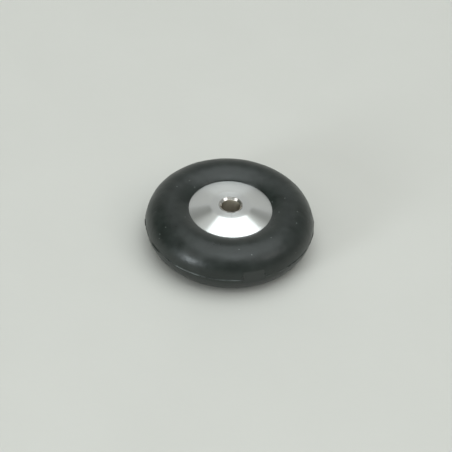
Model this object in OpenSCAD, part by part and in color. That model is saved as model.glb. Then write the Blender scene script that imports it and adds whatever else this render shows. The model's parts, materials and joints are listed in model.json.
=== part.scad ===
// Model-aircraft tailwheel: a solid rubber tyre clamped between two turned hub halves, which run on
// a collared axle bush trapped between them. The axle lies along Z and the origin is the wheel's centre.

/* [Tyre] */
// Outside diameter over the tread, without the moulding flash
tyre_d = 25; // [22:0.5:40]
// Diameter of the tyre's round section
tyre_section_d = 7.4; // [5.5:0.1:8.5]
// Radius that rounds the tyre's lip beside the hub rim
lip_round = 0.2; // [0.1:0.05:0.4]
// Height of the moulding flash above the tread
flash_h = 0.12; // [0.05:0.01:0.3]
// Width of the moulding flash at its root
flash_w = 0.26; // [0.1:0.02:0.6]

/* [Hub] */
// Width of the hub across its two boss faces
hub_w = 6.8; // [6:0.1:9]
// Diameter at which the flat boss meets the cone
boss_d = 6; // [5:0.1:8]
// Radius that blends the boss into the cone
boss_round = 2; // [0.5:0.1:3]
// How far each flange reaches up the side of the tyre from the groove
flange_cover = 1.1; // [0.7:0.05:1.8]
// Thickness of each flange at its rim
flange_t = 0.7; // [0.4:0.05:1.2]
// How far the rim lies below the side of the tyre
rim_recess = 0.05; // [0:0.01:0.2]
// Chamfer that breaks the sharp edge of the rim
edge_break = 0.04; // [0.02:0.01:0.25]
// Wall of the spigot that joins the halves, measured around the bush
spigot_wall = 0.9; // [0.7:0.05:1.3]
// Length of the spigot
spigot_len = 1; // [0.6:0.1:1.6]
// Chamfer that leads the spigot into its socket
spigot_lead = 0.2; // [0.1:0.05:0.4]

/* [Axle bush] */
// Diameter of the axle bore
bore_d = 2.7; // [2:0.05:3.2]
// Wall of the bush
bush_wall = 0.4; // [0.4:0.05:0.7]
// Countersink that widens the bore at each end of the bush
bush_chamfer = 0.3; // [0.15:0.01:0.39]
// How far each end of the bush stands proud of the boss
bush_proud = 0.05; // [0:0.01:0.15]
// Height of the collar that traps the bush inside the hub
collar_h = 0.5; // [0.3:0.05:0.6]
// Width of that collar
collar_w = 0.8; // [0.5:0.05:1.2]

/* [Fits] */
// Running clearance between bush and hub, on the radius
running_gap = 0.03; // [0.01:0.01:0.1]
// End play of the collar at each side
end_play = 0.05; // [0.02:0.01:0.15]

/* [Hidden] */
$fn = 96;

// Tyre section: a circle whose inner edge is the hub's groove
tyre_r = tyre_d / 2;
section_r = tyre_section_d / 2;
section_c = tyre_r - section_r;
function tyre_side_z(r) = sqrt(section_r ^ 2 - (section_c - r) ^ 2);

// Hub: a groove as deep as the flanges cover, rims level with the tyre, a shallow cone up to the boss
barrel_r = tyre_r - tyre_section_d;
hub_r = barrel_r + flange_cover;
rim_z = tyre_side_z(hub_r) - rim_recess;
flange_z = rim_z - flange_t;
boss_r = boss_d / 2;
boss_z = hub_w / 2;
cone_a = atan2(boss_z - rim_z, hub_r - boss_r);
function cone_z(r) = boss_z - (r - boss_r) * tan(cone_a);

// Bush: a tube with a collar, which runs between the spigot's end and the bottom of its socket
bore_r = bore_d / 2;
bush_r = bore_r + bush_wall;
bush_z = boss_z + bush_proud;
collar_r = bush_r + collar_h;
collar_z = spigot_len + end_play;
hub_bore_r = bush_r + running_gap;
spigot_r = hub_bore_r + spigot_wall;
socket_z = spigot_len + collar_w + 2 * end_play;

// The lip's arc touches the rim and, from inside, the section's circle at lip_end
lip_c = [hub_r + lip_round, sqrt((section_r - lip_round) ^ 2 - (section_c - hub_r - lip_round) ^ 2)];
lip_end = [section_c, 0] + (lip_c - [section_c, 0]) * section_r / (section_r - lip_round);

// The boss's arc touches the boss face at boss_arc_c's radius, and the cone
boss_arc_c = [boss_r - boss_round * tan(cone_a / 2), boss_z - boss_round];

// What rounding takes off the corner between the rim and the tyre's side
module lip_corner() {
    difference() {
        polygon([
            lip_c,
            [hub_r, lip_c[1]],
            [hub_r - lip_round, lip_c[1]],
            [hub_r - lip_round, lip_end[1] + lip_round],
            lip_end,
        ]);
        translate(lip_c) circle(r = lip_round);
    }
}

// What rounding takes off the corner between the boss and the cone
module boss_corner() {
    difference() {
        polygon([
            boss_arc_c,
            boss_arc_c + [0, 2 * boss_round],
            boss_arc_c + 2 * boss_round * [sin(cone_a), cos(cone_a)],
        ]);
        translate(boss_arc_c) circle(r = boss_round);
    }
}

// The tyre's section: round outside, cut back to the rims, with a square web for the flanges to clamp
module tyre_section() {
    difference() {
        intersection() {
            translate([section_c, 0]) circle(r = section_r);
            translate([hub_r, -section_r]) square([tyre_section_d, tyre_section_d]);
        }
        lip_corner();
        mirror([0, 1]) lip_corner();
    }
    translate([barrel_r, -flange_z]) square([flange_cover + lip_round, 2 * flange_z]);
    // the moulding flash at the parting line
    polygon([
        [tyre_r - flash_h, -flash_w / 2],
        [tyre_r, -flash_w / 2],
        [tyre_r + flash_h, 0],
        [tyre_r, flash_w / 2],
        [tyre_r - flash_h, flash_w / 2],
    ]);
}

module tyre() {
    color("#2b2e2c")
    rotate_extrude() tyre_section();
}

// A hub half in section: its outside from the mid-plane round the flange, cone and boss to the bore,
// closed by the points of its own joint
module hub_section(joint) {
    difference() {
        polygon(concat([
            [barrel_r, 0],
            [barrel_r, flange_z],
            [hub_r, flange_z],
            [hub_r, rim_z - edge_break],
            [hub_r - edge_break, cone_z(hub_r - edge_break)],
            [boss_r, boss_z],
            [hub_bore_r, boss_z],
        ], joint));
        boss_corner();
    }
}

// The half with the spigot, which passes the mid-plane into the other half
module front_hub_half() {
    color("#c9cac8")
    rotate_extrude()
    hub_section([
        [hub_bore_r, -spigot_len],
        [spigot_r - spigot_lead, -spigot_len],
        [spigot_r, spigot_lead - spigot_len],
        [spigot_r, 0],
    ]);
}

// The half with the socket for the spigot and, past it, the bush's collar
module rear_hub_half() {
    color("#c9cac8")
    mirror([0, 0, 1])
    rotate_extrude()
    hub_section([
        [hub_bore_r, socket_z],
        [spigot_r, socket_z],
        [spigot_r, 0],
    ]);
}

module axle_bush() {
    color("#8d8678")
    rotate_extrude()
    polygon([
        [bore_r, bush_chamfer - bush_z],
        [bore_r + bush_chamfer, -bush_z],
        [bush_r, -bush_z],
        [bush_r, -collar_z - collar_w],
        [collar_r, -collar_z - collar_w],
        [collar_r, -collar_z],
        [bush_r, -collar_z],
        [bush_r, bush_z],
        [bore_r + bush_chamfer, bush_z],
        [bore_r, bush_z - bush_chamfer],
    ]);
}

tyre();
front_hub_half();
rear_hub_half();
axle_bush();
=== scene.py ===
import json
import math

import bmesh
import bpy
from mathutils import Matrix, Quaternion, Vector


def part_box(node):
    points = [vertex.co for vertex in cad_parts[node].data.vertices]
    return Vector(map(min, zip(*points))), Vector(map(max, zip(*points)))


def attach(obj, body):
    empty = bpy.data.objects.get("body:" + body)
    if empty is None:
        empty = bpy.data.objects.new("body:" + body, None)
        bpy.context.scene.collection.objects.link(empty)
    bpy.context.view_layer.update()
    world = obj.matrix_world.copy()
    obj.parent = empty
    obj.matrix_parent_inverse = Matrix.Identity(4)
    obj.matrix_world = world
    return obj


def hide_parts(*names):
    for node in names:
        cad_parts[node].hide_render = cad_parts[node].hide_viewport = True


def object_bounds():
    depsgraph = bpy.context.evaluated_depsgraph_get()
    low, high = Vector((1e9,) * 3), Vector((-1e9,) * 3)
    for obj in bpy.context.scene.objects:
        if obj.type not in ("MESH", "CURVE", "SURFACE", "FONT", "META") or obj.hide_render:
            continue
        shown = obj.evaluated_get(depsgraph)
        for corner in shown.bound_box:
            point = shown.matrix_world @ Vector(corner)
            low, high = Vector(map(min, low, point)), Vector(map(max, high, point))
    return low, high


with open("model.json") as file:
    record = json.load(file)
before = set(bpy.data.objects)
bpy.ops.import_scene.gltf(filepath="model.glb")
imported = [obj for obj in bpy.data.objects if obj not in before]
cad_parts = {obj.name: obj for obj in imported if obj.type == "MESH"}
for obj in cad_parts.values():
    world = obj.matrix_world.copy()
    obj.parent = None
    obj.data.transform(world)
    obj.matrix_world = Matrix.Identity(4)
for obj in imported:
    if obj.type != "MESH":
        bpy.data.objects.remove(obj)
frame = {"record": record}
cad_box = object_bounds()

MM = 0.001

# The photograph's view
IMAGE_PX = 452
WHEEL_PX = (229.6, 221.8)   # where the wheel's centre lies in the picture
FOCAL_PX = 2022
SENSOR = 36                 # millimetres, as the camera's lens is
CAMERA_DISTANCE = 300 * MM
CAMERA_ELEVATION = math.radians(42.4)
CAMERA_ROLL = math.radians(4)

# Sizes of the wheel that its box doesn't show, as built
FLASH_H = 0.12 * MM
FLASH_W = 0.26 * MM
LIP_ROUND = 0.2 * MM
FLANGE_T = 0.7 * MM
RIM_RECESS = 0.05 * MM
EDGE_BREAK = 0.04 * MM
BOSS_ROUND = 2 * MM
SPIGOT_WALL = 0.9 * MM
SPIGOT_LEAD = 0.2 * MM
BUSH_WALL = 0.4 * MM
BUSH_CHAMFER = 0.3 * MM
COLLAR_W = 0.8 * MM
RUNNING_GAP = 0.03 * MM
END_PLAY = 0.05 * MM
BOSS_R = 3 * MM

# Sizes that the frame gives
MOUNTS = {mount["name"]: mount for mount in frame["record"]["mounts"]}
TYRE_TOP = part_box("tyre")[1]
HUB_LOW, HUB_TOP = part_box("front_hub_half")
BUSH_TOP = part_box("axle_bush")[1]

TYRE_R = TYRE_TOP.x - FLASH_H
SECTION_R = TYRE_TOP.z
SECTION_C = TYRE_R - SECTION_R
BARREL_R = SECTION_C - SECTION_R
HUB_R = HUB_TOP.x
RIM_Z = math.sqrt(SECTION_R ** 2 - (SECTION_C - HUB_R) ** 2) - RIM_RECESS
FLANGE_Z = RIM_Z - FLANGE_T
BOSS_Z = HUB_TOP.z
CONE_A = math.atan2(BOSS_Z - RIM_Z, HUB_R - BOSS_R)
BORE_R = MOUNTS["axle_bore"]["dims"]["r_mm"] * MM
BUSH_R = BORE_R + BUSH_WALL
BUSH_Z = BUSH_TOP.z
COLLAR_R = BUSH_TOP.x
HUB_BORE_R = BUSH_R + RUNNING_GAP
SPIGOT_R = HUB_BORE_R + SPIGOT_WALL
SPIGOT_Z = HUB_LOW.z
SOCKET_Z = -SPIGOT_Z + COLLAR_W + 2 * END_PLAY
COLLAR_Z = -SPIGOT_Z + END_PLAY
FLOOR_Z = cad_box[0].z

# Faults that moulding and trimming left on the tyre, with angles from the front towards the right
TEAR_LENGTH = 3 * MM
TEAR_NOISE = (0.42, 0.58)   # the noise's values where the flash is still whole and where it is gone
TEAR_SPARED = 0.3           # how much the noise is lowered along the stretch that was spared
# the stretch where the flash is left whole, and where the rubber's material paints a highlight along it
FLASH_AZIMUTH = math.radians(-12)
FLASH_HALF_WIDTH = math.radians(24)
SCAR_AZIMUTH = math.radians(19.5)
SCAR_HALF_WIDTH = math.radians(7.5)
SCAR_RISE = math.radians(5.4)
SCAR_DEPTH = 0.12 * MM
SCAR_RAGGED = 0.8 * MM
SCAR_FRAY = 0.5             # the share of its half width by which the scar's ends wander
WAVE_LENGTH = 4 * MM
WAVE_HEIGHT = 0.06 * MM
WAVE_NOISE = (0.3, 0.7)     # the noise's values at no depth and at the full depth
LIP_FADE = 1 * MM           # over which the waves grow from nothing beside the lip
FAULT_SEED = 3.0

# Steps of the meshes
ARC_STEP = 0.12 * MM
TYRE_STEPS = 640
HUB_STEPS = 320
SHARP_ANGLE = math.radians(28)


def linear(colour):
    """A colour written as sRGB hex, in the linear values that shaders and lights take."""
    parts = [int(colour[i:i + 2], 16) / 255 for i in (1, 3, 5)]
    return [p / 12.92 if p <= 0.04045 else ((p + 0.055) / 1.055) ** 2.4 for p in parts] + [1.0]


def add_node(tree, kind, inputs=(), **settings):
    """A node with its settings and links. Its inputs, by place or by name, are values, sockets or whole
    nodes, which stand for their first outputs."""
    node = tree.nodes.new(kind)
    for name, value in settings.items():
        setattr(node, name, value)
    for key, value in inputs.items() if isinstance(inputs, dict) else enumerate(inputs):
        if isinstance(value, bpy.types.Node):
            value = value.outputs[0]
        if isinstance(value, bpy.types.NodeSocket):
            tree.links.new(value, node.inputs[key])
        else:
            node.inputs[key].default_value = value
    return node


# The sockets of a Mix node that mixes colours, by place because its other kinds have the same names
MIX_BY = 0
MIX_FROM = 6
MIX_TO = 7
MIXED = 2


# Outlines of the turned and moulded pieces: points at a radius and a height, in order round the section


def arc(centre, radius, start, end):
    """Points along an arc from one angle to the other, about ARC_STEP apart."""
    count = max(2, math.ceil(abs(end - start) * radius / ARC_STEP))
    angles = [start + (end - start) * i / count for i in range(count + 1)]
    return [(centre[0] + radius * math.cos(a), centre[1] + radius * math.sin(a)) for a in angles]


def tyre_outline():
    """The web between the flanges, the lip by the rim, the round side and the flash at the parting line."""
    lip_reach = SECTION_R - LIP_ROUND
    lip_r = HUB_R + LIP_ROUND
    lip_z = math.sqrt(lip_reach ** 2 - (SECTION_C - lip_r) ** 2)
    lip_angle = math.atan2(lip_z, lip_r - SECTION_C)
    flash_angle = math.asin(FLASH_W / 2 / SECTION_R)
    upper = [(BARREL_R, FLANGE_Z), (HUB_R, FLANGE_Z)]
    upper += arc((lip_r, lip_z), LIP_ROUND, math.pi, lip_angle)
    upper += arc((SECTION_C, 0), SECTION_R, lip_angle, flash_angle)[1:]
    lower = [(r, -z) for r, z in reversed(upper)]
    return upper + [(TYRE_R + FLASH_H, 0)] + lower


def hub_outline(joint):
    """A hub half's flange, cone and rounded boss, closed by the points of its own joint."""
    rim_r = HUB_R - EDGE_BREAK
    rim_z = BOSS_Z - (rim_r - BOSS_R) * math.tan(CONE_A)
    boss_arc_c = (BOSS_R - BOSS_ROUND * math.tan(CONE_A / 2), BOSS_Z - BOSS_ROUND)
    return [
        (BARREL_R, 0),
        (BARREL_R, FLANGE_Z),
        (HUB_R, FLANGE_Z),
        (HUB_R, RIM_Z - EDGE_BREAK),
        (rim_r, rim_z),
        *arc(boss_arc_c, BOSS_ROUND, math.pi / 2 - CONE_A, math.pi / 2),
        (HUB_BORE_R, BOSS_Z),
        *joint,
    ]


def front_hub_outline():
    """The half with the spigot."""
    return hub_outline([
        (HUB_BORE_R, SPIGOT_Z),
        (SPIGOT_R - SPIGOT_LEAD, SPIGOT_Z),
        (SPIGOT_R, SPIGOT_Z + SPIGOT_LEAD),
        (SPIGOT_R, 0),
    ])


def rear_hub_outline():
    """The half with the socket, on the other side of the mid-plane."""
    half = hub_outline([(HUB_BORE_R, SOCKET_Z), (SPIGOT_R, SOCKET_Z), (SPIGOT_R, 0)])
    return [(r, -z) for r, z in half]


def bush_outline():
    """A tube with a collar, countersunk at both ends."""
    mouth_r = BORE_R + BUSH_CHAMFER
    return [
        (BORE_R, BUSH_CHAMFER - BUSH_Z),
        (mouth_r, -BUSH_Z),
        (BUSH_R, -BUSH_Z),
        (BUSH_R, -COLLAR_Z - COLLAR_W),
        (COLLAR_R, -COLLAR_Z - COLLAR_W),
        (COLLAR_R, -COLLAR_Z),
        (BUSH_R, -COLLAR_Z),
        (BUSH_R, BUSH_Z),
        (mouth_r, BUSH_Z),
        (BORE_R, BUSH_Z - BUSH_CHAMFER),
    ]


# Geometry trees


def new_tree(name, sockets):
    """A geometry tree with a geometry in and out, and the named inputs given as name and kind."""
    tree = bpy.data.node_groups.new(name, "GeometryNodeTree")
    tree.interface.new_socket("Geometry", in_out="OUTPUT", socket_type="NodeSocketGeometry")
    tree.interface.new_socket("Geometry", in_out="INPUT", socket_type="NodeSocketGeometry")
    for socket, kind in sockets.items():
        tree.interface.new_socket(socket, in_out="INPUT", socket_type="NodeSocket" + kind)
    return tree, add_node(tree, "NodeGroupInput").outputs


def end_tree(tree, geometry, material):
    """The nodes that every tree ends in."""
    real = add_node(tree, "GeometryNodeRealizeInstances", [geometry])
    dressed = add_node(tree, "GeometryNodeSetMaterial", {"Geometry": real, "Material": material})
    add_node(tree, "NodeGroupOutput", [dressed])
    return tree


def ring_tree():
    """Sweeps an outline round the axle, as a lathe or a mould does."""
    tree, given = new_tree("ring round the axle", {
        "Path radius": "Float",
        "Steps round": "Int",
        "Material": "Material",
    })
    outline = add_node(tree, "GeometryNodeMeshToCurve", [given["Geometry"]])
    path = add_node(tree, "GeometryNodeCurvePrimitiveCircle", {
        "Resolution": given["Steps round"],
        "Radius": given["Path radius"],
    })
    ring = add_node(tree, "GeometryNodeCurveToMesh", {"Curve": path, "Profile Curve": outline})
    smooth = add_node(tree, "GeometryNodeSetShadeSmooth", [ring])
    return end_tree(tree, smooth, given["Material"])


def faults_tree():
    """Tears the flash of a moulded tyre, cuts the scar of its gate and takes the trueness off its sides."""
    tree, given = new_tree("moulding faults", {
        "Lip radius": "Float",
        "Tread radius": "Float",
        "Section radius": "Float",
        "Flash height": "Float",
        "Tear length": "Float",
        "Flash azimuth": "Float",
        "Flash half width": "Float",
        "Scar azimuth": "Float",
        "Scar half width": "Float",
        "Scar rise": "Float",
        "Scar depth": "Float",
        "Scar ragged": "Float",
        "Wave length": "Float",
        "Wave height": "Float",
        "Lip fade": "Float",
        "Seed": "Float",
        "Material": "Material",
    })
    place = add_node(tree, "GeometryNodeInputPosition")
    axes = add_node(tree, "ShaderNodeSeparateXYZ", [place]).outputs
    across = add_node(tree, "ShaderNodeVectorMath", [place, (1, 1, 0)], operation="MULTIPLY")
    radius = add_node(tree, "ShaderNodeVectorMath", [across], operation="LENGTH").outputs["Value"]
    outward = add_node(tree, "ShaderNodeVectorMath", [across], operation="NORMALIZE")

    # the flash's tip sinks back to the tread where it tore off, which spared one stretch
    half_way = add_node(tree, "ShaderNodeMath", [given["Flash height"], 0.5, given["Tread radius"]],
                        operation="MULTIPLY_ADD")
    tip = add_node(tree, "ShaderNodeMath", [radius, half_way], operation="GREATER_THAN")
    tear_scale = add_node(tree, "ShaderNodeMath", [1.0, given["Tear length"]], operation="DIVIDE")
    tear = add_node(tree, "ShaderNodeTexNoise", {
        "Vector": across,
        "W": given["Seed"],
        "Scale": tear_scale,
        "Detail": 4.0,
        "Roughness": 0.6,
    }, noise_dimensions="4D")
    forward = add_node(tree, "ShaderNodeMath", [axes["Y"], -1.0], operation="MULTIPLY")
    azimuth = add_node(tree, "ShaderNodeMath", [axes["X"], forward], operation="ARCTAN2")
    whole = add_node(tree, "ShaderNodeMath", [azimuth, given["Flash azimuth"], given["Flash half width"]],
                     operation="COMPARE")
    spared = add_node(tree, "ShaderNodeMath", [whole, -TEAR_SPARED, tear], operation="MULTIPLY_ADD")
    torn = add_node(tree, "ShaderNodeMapRange", [spared, *TEAR_NOISE])
    torn_tip = add_node(tree, "ShaderNodeMath", [torn, tip], operation="MULTIPLY")
    left_on = add_node(tree, "ShaderNodeMath", [tip, torn_tip], operation="SUBTRACT")
    flash = add_node(tree, "ShaderNodeMath", [left_on, whole], operation="MULTIPLY")
    drop = add_node(tree, "ShaderNodeMath", [torn_tip, given["Flash height"]], operation="MULTIPLY")
    lowered = add_node(tree, "ShaderNodeVectorMath", {0: outward, "Scale": drop}, operation="SCALE")
    trimmed = add_node(tree, "ShaderNodeVectorMath", [place, lowered], operation="SUBTRACT")

    # the way out from the middle of the section, and the way that the gate's scar faces
    centre_r = add_node(tree, "ShaderNodeMath", [given["Tread radius"], given["Section radius"]],
                        operation="SUBTRACT")
    centre = add_node(tree, "ShaderNodeVectorMath", {0: outward, "Scale": centre_r}, operation="SCALE")
    spoke = add_node(tree, "ShaderNodeVectorMath", [trimmed, centre], operation="SUBTRACT")
    level = add_node(tree, "ShaderNodeMath", [given["Scar rise"]], operation="COSINE")
    upright = add_node(tree, "ShaderNodeMath", [given["Scar rise"]], operation="SINE")
    level_way = add_node(tree, "ShaderNodeVectorMath", {0: outward, "Scale": level}, operation="SCALE")
    upright_way = add_node(tree, "ShaderNodeCombineXYZ", {"Z": upright})
    scar_way = add_node(tree, "ShaderNodeVectorMath", [level_way, upright_way], operation="ADD")

    # the scar is flat across the section and ends raggedly round the tread
    ragged_scale = add_node(tree, "ShaderNodeMath", [1.0, given["Scar ragged"]], operation="DIVIDE")
    ragged = add_node(tree, "ShaderNodeTexNoise", {"Vector": place, "Scale": ragged_scale, "Detail": 2.0})
    ragged_angle = add_node(tree, "ShaderNodeMath", [ragged, given["Scar half width"]], operation="MULTIPLY")
    turned = add_node(tree, "ShaderNodeMath", [azimuth, given["Scar azimuth"]], operation="SUBTRACT")
    off_middle = add_node(tree, "ShaderNodeMath", [turned], operation="ABSOLUTE")
    frayed = add_node(tree, "ShaderNodeMath", [ragged_angle, SCAR_FRAY, off_middle],
                      operation="MULTIPLY_ADD")
    end = add_node(tree, "ShaderNodeMath", [given["Scar half width"], 1 + SCAR_FRAY / 2],
                   operation="MULTIPLY")
    inside = add_node(tree, "ShaderNodeMath", [frayed, end], operation="LESS_THAN")
    reach = add_node(tree, "ShaderNodeVectorMath", [spoke, scar_way],
                     operation="DOT_PRODUCT").outputs["Value"]
    scar_face = add_node(tree, "ShaderNodeMath", [given["Section radius"], given["Scar depth"]],
                         operation="SUBTRACT")
    over = add_node(tree, "ShaderNodeMath", [reach, scar_face], operation="SUBTRACT")
    shaved = add_node(tree, "ShaderNodeMath", [over, 0.0], operation="MAXIMUM")
    cut = add_node(tree, "ShaderNodeMath", [shaved, inside], operation="MULTIPLY")
    sliced = add_node(tree, "ShaderNodeVectorMath", {0: scar_way, "Scale": cut}, operation="SCALE")

    # the round sides lie a little low here and there, but not the lip beside the hub
    wave_scale = add_node(tree, "ShaderNodeMath", [1.0, given["Wave length"]], operation="DIVIDE")
    wave = add_node(tree, "ShaderNodeTexNoise", {
        "Vector": place,
        "W": given["Seed"],
        "Scale": wave_scale,
        "Detail": 1.0,
    }, noise_dimensions="4D")
    from_lip = add_node(tree, "ShaderNodeMath", [radius, given["Lip radius"]], operation="SUBTRACT")
    free = add_node(tree, "ShaderNodeMapRange", [from_lip, 0.0, given["Lip fade"]])
    depth = add_node(tree, "ShaderNodeMapRange", [wave, *WAVE_NOISE])
    low = add_node(tree, "ShaderNodeMath", [depth, given["Wave height"]], operation="MULTIPLY")
    sunk = add_node(tree, "ShaderNodeMath", [low, free], operation="MULTIPLY")
    side_way = add_node(tree, "ShaderNodeVectorMath", [spoke], operation="NORMALIZE")
    sinking = add_node(tree, "ShaderNodeVectorMath", {0: side_way, "Scale": sunk}, operation="SCALE")

    # what the faults take off, and the marks that the rubber's material reads
    taken = add_node(tree, "ShaderNodeVectorMath", [sliced, sinking], operation="ADD")
    worn_tyre_and_painted_bore_light = add_node(tree, "ShaderNodeVectorMath", [trimmed, taken], operation="SUBTRACT")
    scar = add_node(tree, "ShaderNodeMath", [cut, 0.0], operation="GREATER_THAN")
    # the flash mark tells the rubber's material where to paint the flash's highlight
    flash_marked = add_node(tree, "GeometryNodeStoreNamedAttribute", {
        "Geometry": given["Geometry"],
        "Name": "flash",
        "Value": flash,
    }, data_type="FLOAT", domain="POINT")
    scar_marked = add_node(tree, "GeometryNodeStoreNamedAttribute", {
        "Geometry": flash_marked,
        "Name": "scar",
        "Value": scar,
    }, data_type="FLOAT", domain="POINT")
    moved = add_node(tree, "GeometryNodeSetPosition", {"Geometry": scar_marked, "Position": worn_tyre_and_painted_bore_light})
    return end_tree(tree, moved, given["Material"])


# Making a piece


def give_modifier(obj, tree, values):
    """A geometry modifier with its named inputs set."""
    modifier = obj.modifiers.new(tree.name, "NODES")
    modifier.node_group = tree
    for item in tree.interface.items_tree:
        if item.in_out == "INPUT" and item.name in values:
            modifier[item.identifier] = values[item.name]


def ring_piece(name, outline, steps, tree, material):
    """An object that holds an outline as a loop of edges, with the modifier that sweeps it."""
    path_radius = sum(r for r, z in outline) / len(outline)
    count = len(outline)
    mesh = bpy.data.meshes.new(name)
    points = [(r - path_radius, -z, 0) for r, z in outline]
    mesh.from_pydata(points, [(i, (i + 1) % count) for i in range(count)], [])
    obj = bpy.data.objects.new(name, mesh)
    bpy.context.scene.collection.objects.link(obj)
    give_modifier(obj, tree, {
        "Path radius": path_radius,
        "Steps round": steps,
        "Material": material,
    })
    return obj


def rubber_tyre(tree, material):
    """The swept tyre with its moulding faults."""
    tyre = ring_piece("rubber_tyre", tyre_outline(), TYRE_STEPS, tree, material)
    give_modifier(tyre, faults_tree(), {
        "Lip radius": HUB_R + LIP_ROUND,
        "Tread radius": TYRE_R,
        "Section radius": SECTION_R,
        "Flash height": FLASH_H,
        "Tear length": TEAR_LENGTH,
        "Flash azimuth": FLASH_AZIMUTH,
        "Flash half width": FLASH_HALF_WIDTH,
        "Scar azimuth": SCAR_AZIMUTH,
        "Scar half width": SCAR_HALF_WIDTH,
        "Scar rise": SCAR_RISE,
        "Scar depth": SCAR_DEPTH,
        "Scar ragged": SCAR_RAGGED,
        "Wave length": WAVE_LENGTH,
        "Wave height": WAVE_HEIGHT,
        "Lip fade": LIP_FADE,
        "Seed": FAULT_SEED,
        "Material": material,
    })
    return tyre


def set_mesh(obj):
    """Turns the modifiers' result into the object's own mesh, facing outwards, with its hard edges kept."""
    graph = bpy.context.evaluated_depsgraph_get()
    made = bpy.data.meshes.new_from_object(
        obj.evaluated_get(graph), preserve_all_data_layers=True, depsgraph=graph
    )
    obj.modifiers.clear()
    obj.data = made
    shell = bmesh.new()
    shell.from_mesh(made)
    bmesh.ops.recalc_face_normals(shell, faces=shell.faces)
    shell.to_mesh(made)
    shell.free()
    made.set_sharp_from_angle(angle=SHARP_ANGLE)


def fit(obj, body, node):
    """Puts a finished piece on its body, in the place of its CAD node."""
    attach(obj, body)
    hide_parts(node)


# Materials


def new_material(name):
    """A material with its node tree, its one shader and the coordinates that its patterns follow."""
    material = bpy.data.materials.new(name)
    material.use_nodes = True
    tree = material.node_tree
    place = add_node(tree, "ShaderNodeTexCoord").outputs["Object"]
    return material, tree, tree.nodes["Principled BSDF"], place


RUBBER_CLOUD = 1.6 * MM
RUBBER_UNEVEN = 0.06 * MM
RUBBER_GRAIN = 0.25 * MM
RUBBER_GRAIN_HEIGHT = 0.001 * MM
RUBBER_DULLNESS = (0.2, 0.49)
FLASH_HIGHLIGHT_NOISE = (0.35, 0.6)  # the clouds' values where the flash is still black and where its painted highlight is palest
DUST_SPACING = 0.9 * MM
DUST_R = 0.08 * MM
DUST_FREE = 0.75            # the share of the cells that hold no speck


def moulded_rubber():
    """Black rubber as it leaves the mould: nearly black and dull, with a broad soft sheen that its cloudy,
    slightly uneven skin breaks up, a few specks of dust, a painted highlight that makes a stretch of the
    flash pale, and a flat grey face where the gate was cut off."""
    material, tree, shader, place = new_material("moulded_black_rubber")
    clouds = add_node(tree, "ShaderNodeTexNoise", {"Vector": place, "Scale": 1 / RUBBER_CLOUD, "Detail": 3.0})
    skin = add_node(tree, "ShaderNodeMix", {
        MIX_BY: clouds,
        MIX_FROM: linear("#111714"),
        MIX_TO: linear("#2a302d"),
    }, data_type="RGBA").outputs[MIXED]

    # dust: only some of the cells hold a speck
    cells = add_node(tree, "ShaderNodeTexVoronoi", {"Vector": place, "Scale": 1 / DUST_SPACING}).outputs
    near = add_node(tree, "ShaderNodeMath", [cells["Distance"], DUST_R / DUST_SPACING], operation="LESS_THAN")
    chance = add_node(tree, "ShaderNodeSeparateColor", [cells["Color"]])
    chosen = add_node(tree, "ShaderNodeMath", [chance, DUST_FREE], operation="GREATER_THAN")
    dust = add_node(tree, "ShaderNodeMath", [near, chosen], operation="MULTIPLY")
    dusty = add_node(tree, "ShaderNodeMix", {
        MIX_BY: dust,
        MIX_FROM: skin,
        MIX_TO: linear("#6f7471"),
    }, data_type="RGBA").outputs[MIXED]

    # the faults that the tyre's own tree marked: the flash gets a patchy painted highlight, and the scar is
    # one grey
    flash = add_node(tree, "ShaderNodeAttribute", attribute_name="flash").outputs["Fac"]
    # painted highlight: the flash's pale colour stands in for the light that its ridge catches
    flash_highlight_patches = add_node(tree, "ShaderNodeMapRange", [clouds, *FLASH_HIGHLIGHT_NOISE])
    pale = add_node(tree, "ShaderNodeMath", [flash, flash_highlight_patches], operation="MULTIPLY")
    trimmed = add_node(tree, "ShaderNodeMix", {
        MIX_BY: pale,
        MIX_FROM: dusty,
        MIX_TO: linear("#626866"),
    }, data_type="RGBA").outputs[MIXED]
    scar = add_node(tree, "ShaderNodeAttribute", attribute_name="scar").outputs["Fac"]
    colour = add_node(tree, "ShaderNodeMix", {
        MIX_BY: scar,
        MIX_FROM: trimmed,
        MIX_TO: linear("#2c302e"),
    }, data_type="RGBA").outputs[MIXED]
    tree.links.new(colour, shader.inputs["Base Color"])

    dullness = add_node(tree, "ShaderNodeMapRange", [clouds, 0.0, 1.0, *RUBBER_DULLNESS])
    tree.links.new(dullness.outputs[0], shader.inputs["Roughness"])

    grain = add_node(tree, "ShaderNodeTexNoise", {"Vector": place, "Scale": 1 / RUBBER_GRAIN, "Detail": 2.0})
    uneven = add_node(tree, "ShaderNodeBump", {"Distance": RUBBER_UNEVEN, "Height": clouds})
    grainy = add_node(tree, "ShaderNodeBump", {
        "Distance": RUBBER_GRAIN_HEIGHT,
        "Height": grain,
        "Normal": uneven,
    })
    tree.links.new(grainy.outputs[0], shader.inputs["Normal"])
    return material


TURNING_FEED = 0.3 * MM     # a real feed is about a tenth of this, too fine to show, so it is drawn coarser
TURNING_DEPTH = 0.00006 * MM
RING_PHASE = 20             # radians that the wave texture turns through for each unit of its scale
BOSS_BLEND = 0.6 * MM       # over which the boss's finer facing cut gives way to the cone's
BOSS_DULLNESS = 0.12
CONE_DULLNESS = 0.24
HANDLING_MARK = 1.5 * MM
HANDLING_DULLNESS = 0.04
SCRATCH_X = 0.2 * MM
SCRATCH_W = 0.05 * MM
SCRATCH_Y = (-3.3 * MM, -1.9 * MM)


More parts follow.
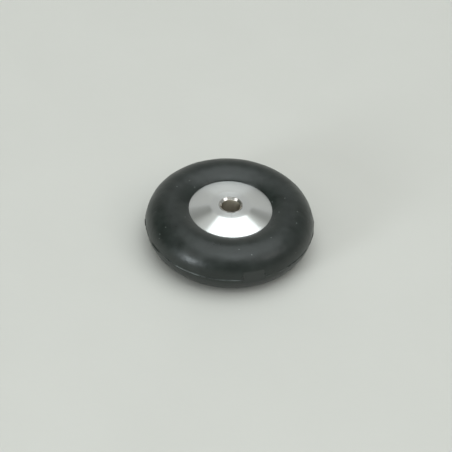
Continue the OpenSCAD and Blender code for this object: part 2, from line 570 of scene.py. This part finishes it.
def turned_aluminium():
    """Aluminium turned and polished, left bare: a bright metal whose fine turning rings draw each reflection
    out towards the rim, so that lights show as fans across the cone, with a scratch beside the bore."""
    material, tree, shader, place = new_material("turned_polished_aluminium")
    shader.inputs["Metallic"].default_value = 1
    shader.inputs["Anisotropic"].default_value = 1
    shader.inputs["Anisotropic Rotation"].default_value = 0.25
    along = add_node(tree, "ShaderNodeTangent", direction_type="RADIAL", axis="Z")
    tree.links.new(along.outputs[0], shader.inputs["Tangent"])

    rings = add_node(tree, "ShaderNodeTexWave", {
        "Vector": place,
        "Scale": 2 * math.pi / RING_PHASE / TURNING_FEED,
        "Distortion": 1.0,
        "Detail": 1.0,
        "Detail Scale": 0.5,
    }, wave_type="RINGS", rings_direction="Z").outputs["Fac"]
    polish = add_node(tree, "ShaderNodeMix", {
        MIX_BY: rings,
        MIX_FROM: linear("#eceeed"),
        MIX_TO: linear("#f6f8f7"),
    }, data_type="RGBA").outputs[MIXED]

    # the scratch: a thin line along Y on the front face
    axes = add_node(tree, "ShaderNodeSeparateXYZ", [place]).outputs
    middle = sum(SCRATCH_Y) / 2
    reach = SCRATCH_Y[1] - middle
    beside = add_node(tree, "ShaderNodeMath", [axes["X"], SCRATCH_X, SCRATCH_W / 2], operation="COMPARE")
    within = add_node(tree, "ShaderNodeMath", [axes["Y"], middle, reach], operation="COMPARE")
    front = add_node(tree, "ShaderNodeMath", [axes["Z"], 0.0], operation="GREATER_THAN")
    line = add_node(tree, "ShaderNodeMath", [beside, within], operation="MULTIPLY")
    scratch = add_node(tree, "ShaderNodeMath", [line, front], operation="MULTIPLY")
    colour = add_node(tree, "ShaderNodeMix", {
        MIX_BY: scratch,
        MIX_FROM: polish,
        MIX_TO: linear("#9a9b9a"),
    }, data_type="RGBA").outputs[MIXED]
    tree.links.new(colour, shader.inputs["Base Color"])

    # the boss is shinier than the cone, and handling has dulled both here and there
    across = add_node(tree, "ShaderNodeVectorMath", [place, (1, 1, 0)], operation="MULTIPLY")
    radius = add_node(tree, "ShaderNodeVectorMath", [across], operation="LENGTH").outputs["Value"]
    finish = add_node(tree, "ShaderNodeMapRange", {
        "Value": radius,
        "From Min": BOSS_R - BOSS_BLEND,
        "From Max": BOSS_R + BOSS_BLEND,
        "To Min": BOSS_DULLNESS,
        "To Max": CONE_DULLNESS,
    })
    marks = add_node(tree, "ShaderNodeTexNoise", {"Vector": place, "Scale": 1 / HANDLING_MARK, "Detail": 3.0})
    dullness = add_node(tree, "ShaderNodeMath", [marks, HANDLING_DULLNESS, finish], operation="MULTIPLY_ADD")
    tree.links.new(dullness.outputs[0], shader.inputs["Roughness"])
    grooves = add_node(tree, "ShaderNodeBump", {"Distance": TURNING_DEPTH, "Height": rings})
    tree.links.new(grooves.outputs[0], shader.inputs["Normal"])
    return material


OIL_PATCH = 0.5 * MM
OIL_DEPTH = 0.02 * MM       # how far outside the bore's radius the oil's colour reaches
PAINTED_LIGHT_FROM = 0.3             # the share of the bore's radius, towards the back, where the painted light on the bore's back wall begins
PLATED_DULLNESS = 0.16
OILED_DULLNESS = 0.4
OILED_METAL = 0.4


def plated_brass():
    """Brass with a nickel plating: silver-white and shiny at the countersinks, brown and dull in the bore,
    where oil has taken the shine away, with painted light that makes the bore's back wall paler."""
    material, tree, shader, place = new_material("nickel_plated_brass_oiled_bore")
    across = add_node(tree, "ShaderNodeVectorMath", [place, (1, 1, 0)], operation="MULTIPLY")
    radius = add_node(tree, "ShaderNodeVectorMath", [across], operation="LENGTH").outputs["Value"]
    bore = add_node(tree, "ShaderNodeMath", [radius, BORE_R + OIL_DEPTH], operation="LESS_THAN")

    patches = add_node(tree, "ShaderNodeTexNoise", {"Vector": place, "Scale": 1 / OIL_PATCH, "Detail": 2.0})
    oil = add_node(tree, "ShaderNodeMix", {
        MIX_BY: patches,
        MIX_FROM: linear("#554e3f"),
        MIX_TO: linear("#6b6353"),
    }, data_type="RGBA").outputs[MIXED]
    # painted light: the bore's back wall is painted paler, as where light falls into the bore
    towards_back = add_node(tree, "ShaderNodeSeparateXYZ", [place]).outputs["Y"]
    worn_tyre_and_painted_bore_light = add_node(tree, "ShaderNodeMapRange", [towards_back, PAINTED_LIGHT_FROM * BORE_R, BORE_R])
    bore_wall = add_node(tree, "ShaderNodeMix", {
        MIX_BY: worn_tyre_and_painted_bore_light,
        MIX_FROM: oil,
        MIX_TO: linear("#e0d6c2"),
    }, data_type="RGBA").outputs[MIXED]
    colour = add_node(tree, "ShaderNodeMix", {
        MIX_BY: bore,
        MIX_FROM: linear("#dedcd8"),
        MIX_TO: bore_wall,
    }, data_type="RGBA").outputs[MIXED]
    tree.links.new(colour, shader.inputs["Base Color"])

    metal = add_node(tree, "ShaderNodeMapRange", [bore, 0.0, 1.0, 1.0, OILED_METAL])
    tree.links.new(metal.outputs[0], shader.inputs["Metallic"])
    dullness = add_node(tree, "ShaderNodeMapRange", [bore, 0.0, 1.0, PLATED_DULLNESS, OILED_DULLNESS])
    tree.links.new(dullness.outputs[0], shader.inputs["Roughness"])
    return material


PAPER_CLOUD = 18 * MM
PAPER_GRAIN = 1.2 * MM
PAPER_GRAIN_HEIGHT = 0.02 * MM
PAPER_DULLNESS = 0.9


def pale_paper():
    """Matt paper under the wheel: pale grey, a little cloudy, with no shine."""
    material, tree, shader, place = new_material("matt_pale_paper")
    clouds = add_node(tree, "ShaderNodeTexNoise", {"Vector": place, "Scale": 1 / PAPER_CLOUD, "Detail": 3.0})
    colour = add_node(tree, "ShaderNodeMix", {
        MIX_BY: clouds,
        MIX_FROM: linear("#cfcec8"),
        MIX_TO: linear("#d4d3cd"),
    }, data_type="RGBA").outputs[MIXED]
    tree.links.new(colour, shader.inputs["Base Color"])
    shader.inputs["Roughness"].default_value = PAPER_DULLNESS
    grain = add_node(tree, "ShaderNodeTexNoise", {"Vector": place, "Scale": 1 / PAPER_GRAIN, "Detail": 2.0})
    fibres = add_node(tree, "ShaderNodeBump", {"Distance": PAPER_GRAIN_HEIGHT, "Height": grain})
    tree.links.new(fibres.outputs[0], shader.inputs["Normal"])
    return material


# The stage

FLOOR_SIDE = 4.0


def set_floor():
    """A sheet of paper as far as the view reaches."""
    mesh = bpy.data.meshes.new("floor")
    half = FLOOR_SIDE / 2
    corners = [(x, y, FLOOR_Z) for x, y in ((-half, -half), (half, -half), (half, half), (-half, half))]
    mesh.from_pydata(corners, [], [(0, 1, 2, 3)])
    mesh.materials.append(pale_paper())
    floor = bpy.data.objects.new("floor", mesh)
    bpy.context.scene.collection.objects.link(floor)


# The room that the wheel reflects, in parts of a direction of length 1: X to the right, Y back and Z up
SWEEP_MIDDLE = -0.02
SWEEP_HALF_WIDTH = 0.48     # on the horizon, level with the wheel
SWEEP_WIDENS = 0.5          # towards the back
SWEEP_NARROWS = 0.67        # towards the top
SWEEP_BLUR = 0.05
WALLS_LIT_RIGHT = 0.7       # how much lighter the walls are on the right
WALLS_LIT_FRONT = 0.9       # and high up in front
TOP_TILT = 0.06             # how much lower the room's light top begins on the right
TOP_BEGINS = 0.71
TOP_FULL = 0.8


def set_world():
    """A pale sweep behind the wheel, wide at its foot and dimmer as it rises, in a room whose walls are
    lighter on the right and in front and whose top is light."""
    world = bpy.data.worlds.new("studio")
    bpy.context.scene.world = world
    world.use_nodes = True
    tree = world.node_tree
    way = add_node(tree, "ShaderNodeTexCoord").outputs["Generated"]
    axes = add_node(tree, "ShaderNodeSeparateXYZ", [way]).outputs

    right = add_node(tree, "ShaderNodeMath", [axes["X"], WALLS_LIT_RIGHT], operation="MULTIPLY")
    high_back = add_node(tree, "ShaderNodeMath", [axes["Y"], axes["Z"]], operation="MULTIPLY")
    lit = add_node(tree, "ShaderNodeMath", [high_back, -WALLS_LIT_FRONT, right], operation="MULTIPLY_ADD")
    walls = add_node(tree, "ShaderNodeMix", {
        MIX_BY: lit,
        MIX_FROM: linear("#5c5e57"),
        MIX_TO: linear("#b6b8b6"),
    }, data_type="RGBA").outputs[MIXED]
    tilted = add_node(tree, "ShaderNodeMath", [axes["X"], TOP_TILT, axes["Z"]], operation="MULTIPLY_ADD")
    top = add_node(tree, "ShaderNodeMapRange", [tilted, TOP_BEGINS, TOP_FULL])
    room = add_node(tree, "ShaderNodeMix", {
        MIX_BY: top,
        MIX_FROM: walls,
        MIX_TO: linear("#d6d8d4"),
    }, data_type="RGBA").outputs[MIXED]

    off_middle = add_node(tree, "ShaderNodeMath", [axes["X"], SWEEP_MIDDLE], operation="SUBTRACT")
    beside = add_node(tree, "ShaderNodeMath", [off_middle], operation="ABSOLUTE")
    foot = add_node(tree, "ShaderNodeMath", [axes["Y"], SWEEP_WIDENS, SWEEP_HALF_WIDTH],
                    operation="MULTIPLY_ADD")
    width = add_node(tree, "ShaderNodeMath", [axes["Z"], -SWEEP_NARROWS, foot], operation="MULTIPLY_ADD")
    inside = add_node(tree, "ShaderNodeMath", [width, beside], operation="SUBTRACT")
    sweep = add_node(tree, "ShaderNodeMapRange", [inside, -SWEEP_BLUR, SWEEP_BLUR])
    paper = add_node(tree, "ShaderNodeMix", {
        MIX_BY: axes["Z"],
        MIX_FROM: linear("#cacbc6"),
        MIX_TO: linear("#a2a4a4"),
    }, data_type="RGBA").outputs[MIXED]
    colour = add_node(tree, "ShaderNodeMix", {
        MIX_BY: sweep,
        MIX_FROM: room,
        MIX_TO: paper,
    }, data_type="RGBA").outputs[MIXED]
    tree.links.new(colour, tree.nodes["Background"].inputs["Color"])


def softbox(name, place, size, radiance, aim=(0, 0, 0), turn=0.0, colour="#ffffff"):
    """A rectangular light that looks equally bright from everywhere, turned about the vertical."""
    data = bpy.data.lights.new(name, "AREA")
    data.shape = "RECTANGLE"
    data.size, data.size_y = size
    data.color = linear(colour)[:3]
    data.energy = radiance * math.pi * size[0] * size[1]
    light = bpy.data.objects.new(name, data)
    light.location = place
    light.rotation_mode = "QUATERNION"
    way = (Vector(aim) - Vector(place)).to_track_quat("-Z", "Y")
    light.rotation_quaternion = Quaternion((0, 0, 1), turn) @ way
    bpy.context.scene.collection.objects.link(light)


PANEL_DISTANCE = 0.8


def round_wheel(azimuth, elevation):
    """A place for a panel round the wheel, in degrees, with the azimuth from the front towards the right."""
    turn = math.radians(azimuth)
    rise = math.radians(elevation)
    level = PANEL_DISTANCE * math.cos(rise)
    return (level * math.sin(turn), -level * math.cos(turn), PANEL_DISTANCE * math.sin(rise))


def set_lights():
    """A wide ceiling whose back corner bounds the fan of light on the hub, a second panel over the front for
    the tyre's sheen, a panel at each side for the countersink's two glints, and a low window on the left."""
    softbox(
        "ceiling",
        place=(0.168, 0.048, 0.8),
        aim=(0.168, 0.048, 0),
        size=(0.95, 0.85),
        turn=math.radians(-34),
        radiance=1.22,
        colour="#f4fcff",
    )
    softbox(
        "overhead",
        place=(-0.08, -0.33, 0.7),
        aim=(-0.08, -0.33, 0),
        size=(0.6, 0.42),
        radiance=1.05,
        colour="#f2fbff",
    )
    softbox("left", place=round_wheel(-53, 40), size=(0.38, 0.17), radiance=1.8)
    softbox("right", place=round_wheel(66, 39), size=(0.38, 0.22), radiance=1.9)
    softbox("window", place=round_wheel(-46, 14), size=(0.19, 0.24), radiance=17, colour="#f2fbff")


def set_camera():
    """The photograph's view: aimed so that the wheel's centre falls at WHEEL_PX."""
    back = Vector((0, -math.cos(CAMERA_ELEVATION), math.sin(CAMERA_ELEVATION)))
    data = bpy.data.cameras.new("photo_view")
    data.sensor_width = SENSOR
    data.lens = SENSOR * FOCAL_PX / IMAGE_PX
    data.clip_start = 0.01
    data.clip_end = 20
    camera = bpy.data.objects.new("photo_view", data)
    roll = Quaternion((0, 0, 1), CAMERA_ROLL)
    turn = (-back).to_track_quat("-Z", "Y") @ roll
    px = CAMERA_DISTANCE / FOCAL_PX
    right = (IMAGE_PX / 2 - WHEEL_PX[0]) * px
    up = (WHEEL_PX[1] - IMAGE_PX / 2) * px
    aim = turn @ Vector((right, up, 0))
    camera.location = back * CAMERA_DISTANCE
    camera.rotation_mode = "QUATERNION"
    camera.rotation_quaternion = (aim - camera.location).to_track_quat("-Z", "Y") @ roll
    bpy.context.scene.collection.objects.link(camera)
    bpy.context.scene.camera = camera


set_camera()
set_world()
set_floor()
set_lights()
bpy.context.scene.view_settings.view_transform = "Standard"

ring = ring_tree()
aluminium = turned_aluminium()
tyre = rubber_tyre(ring, moulded_rubber())
front_hub = ring_piece("front_hub", front_hub_outline(), HUB_STEPS, ring, aluminium)
rear_hub = ring_piece("rear_hub", rear_hub_outline(), HUB_STEPS, ring, aluminium)
bush = ring_piece("running_bush", bush_outline(), HUB_STEPS, ring, plated_brass())
for piece in (tyre, front_hub, rear_hub, bush):
    set_mesh(piece)
fit(tyre, "wheel", "tyre")
fit(front_hub, "wheel", "front_hub_half")
fit(rear_hub, "wheel", "rear_hub_half")
fit(bush, "bush", "axle_bush")
